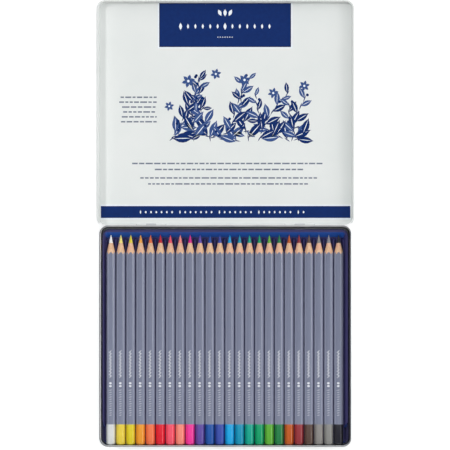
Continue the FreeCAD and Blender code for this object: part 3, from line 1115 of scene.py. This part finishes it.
@dataclass
class LidPrint:
    """Print on the white inside of the lid: a label, a band, a leafy spray and fine rules.

    It is all plain ornament. Its places and sizes are in millimetres, with x from the tin's middle
    and y from the base's middle to the back, and angles are in degrees.
    """

    floor_z: float = 0.3 * MM
    ink: float = 0.012 * MM
    corner: float = 0.12 * MM
    point_share: float = 0.75
    label_plates: tuple[tuple[str, Pair, Pair, Finish], ...] = (
        ("label_edge", (-56.5, 240.4), (56.0, 278.3), PALE_INK),
        ("label_rim", (-55.4, 241.5), (54.9, 278.3), DEEP_NAVY_INK),
        ("label_field", (-54.7, 242.2), (54.2, 277.6), NAVY_INK),
    )
    label_drops: tuple[Pair, ...] = ((-4.7, 115), (-0.3, 90), (4.1, 65))
    label_drop_y: float = 270.2
    label_drop_size: Pair = (6.2, 2.8)
    lozenge_count: int = 13
    lozenge_start: Pair = (-37.5, 258.8)
    lozenge_gap: float = 6.2
    lozenge_size: Pair = (4.32, 1.76)
    big_lozenges: tuple[int, int] = (0, 6)
    big_lozenge_size: Pair = (6.21, 2.53)
    dot_count: int = 7
    dot_start: Pair = (-6.3, 249.8)
    dot_gap: float = 2.0
    dot_size: Pair = (1.1, 0.7)
    band_plates: tuple[tuple[str, Pair, Pair, Finish], ...] = (
        ("band_edge", (-104.2, 97.35), (105.0, 109.6), PALE_INK),
        ("band_field", (-104.2, 98.5), (104.55, 108.5), NAVY_INK),
    )
    band_mark_count: int = 30
    band_mark_start: Pair = (-71.0, 103.4)
    band_mark_gap: float = 4.4
    band_mark_size: Pair = (2.3, 1.5)
    band_group: int = 7
    band_group_gap: float = 6.6
    band_tall_size: Pair = (3.4, 1.2)
    stems: tuple[tuple[float, float, float, int], ...] = (
        (-50, 16, 36, 6),
        (-46, 44, 42, 7),
        (-40, 66, 52, 9),
        (-26, 84, 60, 10),
        (-18, 12, 40, 7),
        (-12, 100, 56, 9),
        (4, 72, 58, 9),
        (12, 168, 42, 7),
        (20, 96, 52, 8),
        (28, 58, 50, 8),
        (40, 110, 44, 7),
        (36, 24, 30, 5),
        (54, 146, 34, 6),
        (56, 70, 48, 7),
        (62, 104, 34, 6),
        (58, 22, 24, 4),
    )
    spray_seed: int = 24
    spray_limits: tuple[Pair, Pair] = ((-57, 77), (162, 226))
    stem_foot: float = 163.0
    stem_bow: float = 4.0
    stem_bow_share: float = 0.5
    stem_width: float = 0.9
    stem_length_share: float = 1.1
    first_leaf_share: float = 0.4
    leaf_length: float = 17.0
    leaf_length_shares: Pair = (0.85, 1.1)
    leaf_width_share: float = 0.4
    leaf_shrink_share: float = 0.5
    leaf_lean: Pair = (28, 48)
    leaf_layer: float = 0.4
    leaf_layers: int = 12
    paler_leaf_share: float = 0.3
    rib_shares: Pair = (0.8, 0.04)
    rib_layer: float = 0.2
    berry_every: int = 3
    berry_shift: Pair = (2.4, 3.2)
    berry_size: Pair = (2.4, 2.4)
    berry_layer: float = 6
    petals: int = 6
    petal_turn: float = 15
    petal_reach_share: float = 0.27
    petal_shares: Pair = (0.52, 0.26)
    petal_layer: float = 7
    eye_share: float = 0.2
    eye_layer: float = 8
    flowers: tuple[tuple[float, float, float], ...] = (
        (-31, 213, 11.0),
        (-8, 219, 9.0),
        (16, 214, 10.0),
        (40, 203, 9.0),
        (-47, 192, 8.0),
        (66, 209, 9.0),
    )
    rule_seed: int = 7
    column_rules: int = 6
    column_edges: Pair = (-89.0, -58.5)
    column_top: float = 199.5
    column_gap: float = 4.1
    wide_rules: tuple[tuple[float, float, float], ...] = (
        (-79.0, 80.5, 144.1),
        (-63.0, 64.0, 139.1),
        (-75.0, 77.0, 132.0),
        (-66.0, 68.0, 127.0),
    )
    rule_shift: float = 4
    rule_lengths: Pair = (2.2, 6.5)
    rule_gap: float = 1.1
    rule_overhang: float = 1
    rule_half_height: float = 0.6

    def plate(self, name: str, low: Pair, high: Pair, layer: int, finish: Finish) -> Piece:
        """A flat printed area.

        Args:
            name: the piece's name.
            low: its left and near edge.
            high: its right and far edge.
            layer: how many layers of ink lie under it.
            finish: the ink.

        Returns:
            The printed area, a thin film.
        """
        middle_z = self.floor_z + layer * self.ink + self.ink / 2
        deselect_all()
        bpy.ops.mesh.primitive_cube_add(
            size=1, location=((low[0] + high[0]) / 2 * MM, (low[1] + high[1]) / 2 * MM, middle_z)
        )
        size = ((high[0] - low[0]) * MM, (high[1] - low[1]) * MM, self.ink)
        bpy.context.object.scale = size
        piece = settled(name)
        with editing(piece, "EDGE"):
            pick_edges(piece, lambda a, b: abs(a.z - b.z) > self.ink / 2)
            bpy.ops.mesh.bevel(offset=self.corner, segments=3, affect="EDGES")
        piece.data.materials.append(finish.material())
        return piece

    def plates(self, rows: tuple[tuple[str, Pair, Pair, Finish], ...]) -> list[Piece]:
        """Flat printed areas, each on the one before.

        Args:
            rows: the name, the two corners and the ink of each.

        Returns:
            The films of ink.
        """
        return [
            self.plate(name, low, high, layer, finish)
            for layer, (name, low, high, finish) in enumerate(rows)
        ]

    def blob(
        self,
        middle: Pair,
        size: Pair,
        turn: float,
        layer: float,
        finish: Finish,
        pointed: bool = True,
    ) -> Piece:
        """A leaf, drop or dot, drawn as a closed curve.

        Args:
            middle: its middle.
            size: its length and width.
            turn: the angle of its length to the x axis.
            layer: how many layers of ink lie under it.
            finish: the ink.
            pointed: whether both ends are pointed.

        Returns:
            The film of ink.
        """
        deselect_all()
        bpy.ops.curve.primitive_bezier_circle_add(radius=1)
        drawn = bpy.context.object
        drawn.data.dimensions = "2D"
        drawn.data.fill_mode = "BOTH"
        drawn.data.resolution_u = 4
        drawn.data.extrude = self.ink / 2
        points = drawn.data.splines[0].bezier_points
        if pointed:
            for point in (points[0], points[2]):
                point.handle_left_type = "FREE"
                point.handle_right_type = "FREE"
                point.handle_left = point.co * self.point_share
                point.handle_right = point.co * self.point_share
        drawn.scale = (size[0] / 2 * MM, size[1] / 2 * MM, 1)
        drawn.rotation_euler = (0, 0, math.radians(turn))
        middle_z = self.floor_z + (layer + 0.5) * self.ink
        drawn.location = (middle[0] * MM, middle[1] * MM, middle_z)
        bpy.ops.object.convert(target="MESH")
        piece = settled("leaf")
        piece.data.materials.append(finish.material())
        return piece

    def label(self) -> list[Piece]:
        """The navy label by the lid's front skirt: a row of lozenges between drops and dots.

        Returns:
            The films of ink.
        """
        parts = self.plates(self.label_plates)
        layer = len(parts)
        for x, turn in self.label_drops:
            middle = (x, self.label_drop_y)
            parts.append(self.blob(middle, self.label_drop_size, turn, layer, PALE_INK))
        x, y = self.lozenge_start
        for step in range(self.lozenge_count):
            size = self.big_lozenge_size if step in self.big_lozenges else self.lozenge_size
            middle = (x + step * self.lozenge_gap, y)
            parts.append(self.blob(middle, size, 90, layer, PALE_INK))
        x, y = self.dot_start
        for step in range(self.dot_count):
            middle = (x + step * self.dot_gap, y)
            parts.append(self.blob(middle, self.dot_size, 0, layer, PALE_INK, pointed=False))
        return parts

    def band(self) -> list[Piece]:
        """The navy band across the lid near the hinge, with a row of wide-spaced small lozenges.

        Returns:
            The films of ink.
        """
        parts = self.plates(self.band_plates)
        layer = len(parts)
        x, y = self.band_mark_start
        for step in range(self.band_mark_count):
            place = step % self.band_group
            size = self.band_mark_size if place else self.band_tall_size
            parts.append(self.blob((x, y), size, 90, layer, PALE_INK))
            x += self.band_group_gap if place == self.band_group - 1 else self.band_mark_gap
        return parts

    def rosette(self, x: float, y: float, size: float) -> list[Piece]:
        """A plain flower seen from above: petals round a dot.

        Args:
            x: its middle.
            y: its middle.
            size: its width.

        Returns:
            The films of ink.
        """
        parts = []
        reach = size * self.petal_reach_share
        petal = (size * self.petal_shares[0], size * self.petal_shares[1])
        for step in range(self.petals):
            heading = 360 / self.petals * step + self.petal_turn
            turn = math.radians(heading)
            middle = (x + math.cos(turn) * reach, y + math.sin(turn) * reach)
            parts.append(self.blob(middle, petal, heading, self.petal_layer, MID_INK))
        eye = (size * self.eye_share, size * self.eye_share)
        parts.append(self.blob((x, y), eye, 0, self.eye_layer, PALE_INK, pointed=False))
        return parts

    def spray(self) -> list[Piece]:
        """A full bouquet of plain leaves, flowers and berries in the middle of the lid.

        Returns:
            The films of ink.
        """
        source = random.Random(self.spray_seed)
        (left, right), (near, far) = self.spray_limits
        parts = []
        count = 0
        for x, heading, length, leaves in self.stems:
            turn = math.radians(heading)
            for step in range(leaves):
                share = (step + self.first_leaf_share) / leaves
                reach = length * share
                bow = math.sin(share * math.pi) * self.stem_bow
                px = x + math.cos(turn) * reach - math.sin(turn) * bow
                rise = math.sin(turn) * reach + math.cos(turn) * bow * self.stem_bow_share
                py = self.stem_foot + rise
                shrink = 1 - self.leaf_shrink_share * share
                size = self.leaf_length * shrink * source.uniform(*self.leaf_length_shares)
                side = 1 if step % 2 else -1
                lean = heading + side * source.uniform(*self.leaf_lean)
                reach_x = math.cos(math.radians(lean)) * size / 2
                reach_y = math.sin(math.radians(lean)) * size / 2
                if not left < px + 2 * reach_x < right or not near < py + 2 * reach_y < far:
                    continue
                paler = self.paler_leaf_share + self.paler_leaf_share * share
                ink = MID_INK if source.random() < paler else NAVY_INK
                level = self.leaf_layer + self.leaf_layer * (count % self.leaf_layers)
                count += 1
                middle = (px + reach_x, py + reach_y)
                leaf = (size, size * self.leaf_width_share)
                parts.append(self.blob(middle, leaf, lean, level, ink))
                rib = (size * self.rib_shares[0], size * self.rib_shares[1])
                parts.append(self.blob(middle, rib, lean, level + self.rib_layer, PALE_INK))
                stem = (length / leaves * self.stem_length_share, self.stem_width)
                parts.append(self.blob((px, py), stem, heading, 0, NAVY_INK))
                if step % self.berry_every == self.berry_every - 1:
                    middle = (px + side * self.berry_shift[0], py + self.berry_shift[1])
                    layer = self.berry_layer
                    parts.append(
                        self.blob(middle, self.berry_size, 0, layer, NAVY_INK, pointed=False)
                    )
        for x, y, size in self.flowers:
            parts.extend(self.rosette(x, y, size))
        return parts

    def rules(self) -> list[Piece]:
        """Fine broken rules where a tin of this kind has its small print.

        Returns:
            The films of ink.
        """
        source = random.Random(self.rule_seed)
        parts = []
        rows = [
            (*self.column_edges, self.column_top - step * self.column_gap)
            for step in range(self.column_rules)
        ]
        for left, right, y in [*rows, *self.wide_rules]:
            low_y, high_y = y - self.rule_half_height, y + self.rule_half_height
            x = left + source.uniform(0, self.rule_shift)
            while x < right:
                length = source.uniform(*self.rule_lengths)
                stop = min(x + length, right + self.rule_overhang)
                parts.append(self.plate("rule", (x, low_y), (stop, high_y), 0, GREY_INK))
                x += length + self.rule_gap
        return parts

    def build(self) -> None:
        """Prints each area and lets it ride on the lid."""
        areas = {
            "label_print": self.label(),
            "band_print": self.band(),
            "spray_print": self.spray(),
            "rule_print": self.rules(),
        }
        for name, parts in areas.items():
            piece = joined(parts, name)
            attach(piece, "lid")
            log.info("%s: %d faces", piece.name, len(piece.data.polygons))


# The studio


@dataclass
class Studio:
    """Plain pale floor, soft lights and the camera straight above.

    Each lamp has a name, the degrees that it leans to the right and to the front, the share of full
    white that it gives a level surface, its apparent size in degrees, and whether it gleams.
    """

    camera_height: float = 4.0
    lens: float = 382.5
    sensor: float = 36.0
    near_clip: float = 0.1
    far_clip: float = 50.0
    middle: Pair = (-0.33 * MM, 92.63 * MM)
    floor_size: float = 6.0
    floor_gap: float = 0.1 * MM
    floor_colour: str = "#E9EAEA"
    floor_lift: float = 0.42
    left_dimming: float = -1.5
    sky_stops: tuple[tuple[float, str], ...] = ((0.77, "#FFFFFF"), (0.95, "#4E5158"))
    sky_strength: float = 0.62
    gleam_strength: float = 0.85
    lamps: tuple[tuple[str, float, float, float, float, bool], ...] = (
        ("key_left", -43, -16, 0.23, 9, False),
        ("fill_right", 58, -8, 0.15, 34, True),
        ("overhead", 0, -6, 0.09, 30, False),
        ("front", 0, 48, 0.06, 50, True),
        ("rear", 0, -50, 0.11, 50, True),
    )

    def floor(self) -> None:
        """A pale floor that the camera sees lifted to white, with the object's shadow kept."""
        deselect_all()
        bpy.ops.mesh.primitive_plane_add(size=self.floor_size, location=(0, 0, -self.floor_gap))
        floor = settled("floor")
        surface = bpy.data.materials.new("pale_paper_floor")
        surface.use_nodes = True
        tree = surface.node_tree
        shader = tree.nodes["Principled BSDF"]
        path = add_node(tree, "ShaderNodeLightPath")
        seen = path.outputs["Is Camera Ray"]
        for ray in ("Is Glossy Ray", "Is Transmission Ray"):
            either = {0: seen, 1: path.outputs[ray]}
            seen = add_node(tree, "ShaderNodeMath", {"operation": "MAXIMUM"}, either).outputs[0]
        lift = add_node(
            tree, "ShaderNodeMath", {"operation": "MULTIPLY", 1: self.floor_lift}, {0: seen}
        )
        colours = {
            "Base Color": linear(self.floor_colour),
            "Emission Color": linear("#FFFFFF"),
        }
        set_values(shader, {"Roughness": 0.9, **colours})
        tree.links.new(lift.outputs[0], shader.inputs["Emission Strength"])
        floor.data.materials.append(surface)

    def sky(self) -> None:
        """A surround of nearly white, dark straight overhead and at the left, for what gleams."""
        world = bpy.data.worlds.new("studio")
        world.use_nodes = True
        bpy.context.scene.world = world
        tree = world.node_tree
        place = add_node(tree, "ShaderNodeTexCoord").outputs["Generated"]
        parts = add_node(tree, "ShaderNodeSeparateXYZ", links={0: place})
        side = add_node(
            tree,
            "ShaderNodeMath",
            {"operation": "MULTIPLY", 1: self.left_dimming},
            {0: parts.outputs["X"]},
        )
        dim = add_node(
            tree,
            "ShaderNodeMath",
            {"operation": "MAXIMUM"},
            {0: side.outputs[0], 1: parts.outputs["Z"]},
        )
        stops = list(self.sky_stops)
        tone = add_node(tree, "ShaderNodeValToRGB", links={"Fac": dim.outputs[0]}, stops=stops)
        path = add_node(tree, "ShaderNodeLightPath")
        strength = add_node(
            tree,
            "ShaderNodeMapRange",
            {"To Min": self.sky_strength, "To Max": self.gleam_strength},
            {"Value": path.outputs["Is Glossy Ray"]},
        )
        back = tree.nodes["Background"]
        tree.links.new(strength.outputs["Result"], back.inputs["Strength"])
        tree.links.new(tone.outputs["Color"], back.inputs["Color"])

    def lamp(
        self, name: str, side: float, front: float, share: float, softness: float, gleams: bool
    ) -> None:
        """A soft distant lamp.

        Args:
            name: the lamp's name.
            side: degrees that it leans to the right.
            front: degrees that it leans to the front.
            share: the share of full white that it gives a level surface.
            softness: its apparent size in degrees.
            gleams: whether glossy surfaces mirror it.
        """
        light = bpy.data.lights.new(name, "SUN")
        lamp = linked(name, light)
        side, front = math.radians(side), math.radians(front)
        toward = Vector((math.tan(side), -math.tan(front), 1)).normalized()
        lamp.rotation_mode = "QUATERNION"
        lamp.rotation_quaternion = toward.to_track_quat("Z", "Y")
        lamp.visible_glossy = gleams
        light.angle = math.radians(softness)
        light.energy = share * math.pi / toward.z

    def build(self) -> None:
        """Sets the floor, the surround, the lamps and the camera."""
        self.floor()
        self.sky()
        for lamp in self.lamps:
            self.lamp(*lamp)
        camera = bpy.data.cameras.new("camera")
        camera.lens = self.lens
        camera.sensor_width = self.sensor
        camera.clip_start = self.near_clip
        camera.clip_end = self.far_clip
        stand = linked("camera", camera)
        stand.location = (*self.middle, self.camera_height)
        bpy.context.scene.camera = stand
        bpy.context.scene.view_settings.view_transform = "Standard"


def main() -> None:
    """Builds the set, piece by piece, and the studio round it."""
    logging.basicConfig(level=logging.INFO, format="%(message)s")
    SheetPiece("base_shell", "tin_base", "base", "base_tinplate", TINPLATE).build()
    SheetPiece("lid_shell", "tin_lid", "lid", "lid_enamel", WHITE_ENAMEL).build()
    SheetPiece(
        "insert_tray", "tray", "tray", "tray_plastic", TRAY_PLASTIC, smooth_angle=30.0
    ).build()
    HingeWires().build()
    PencilRow().build()
    LidPrint().build()
    Studio().build()


if __name__ == "__main__":
    main()
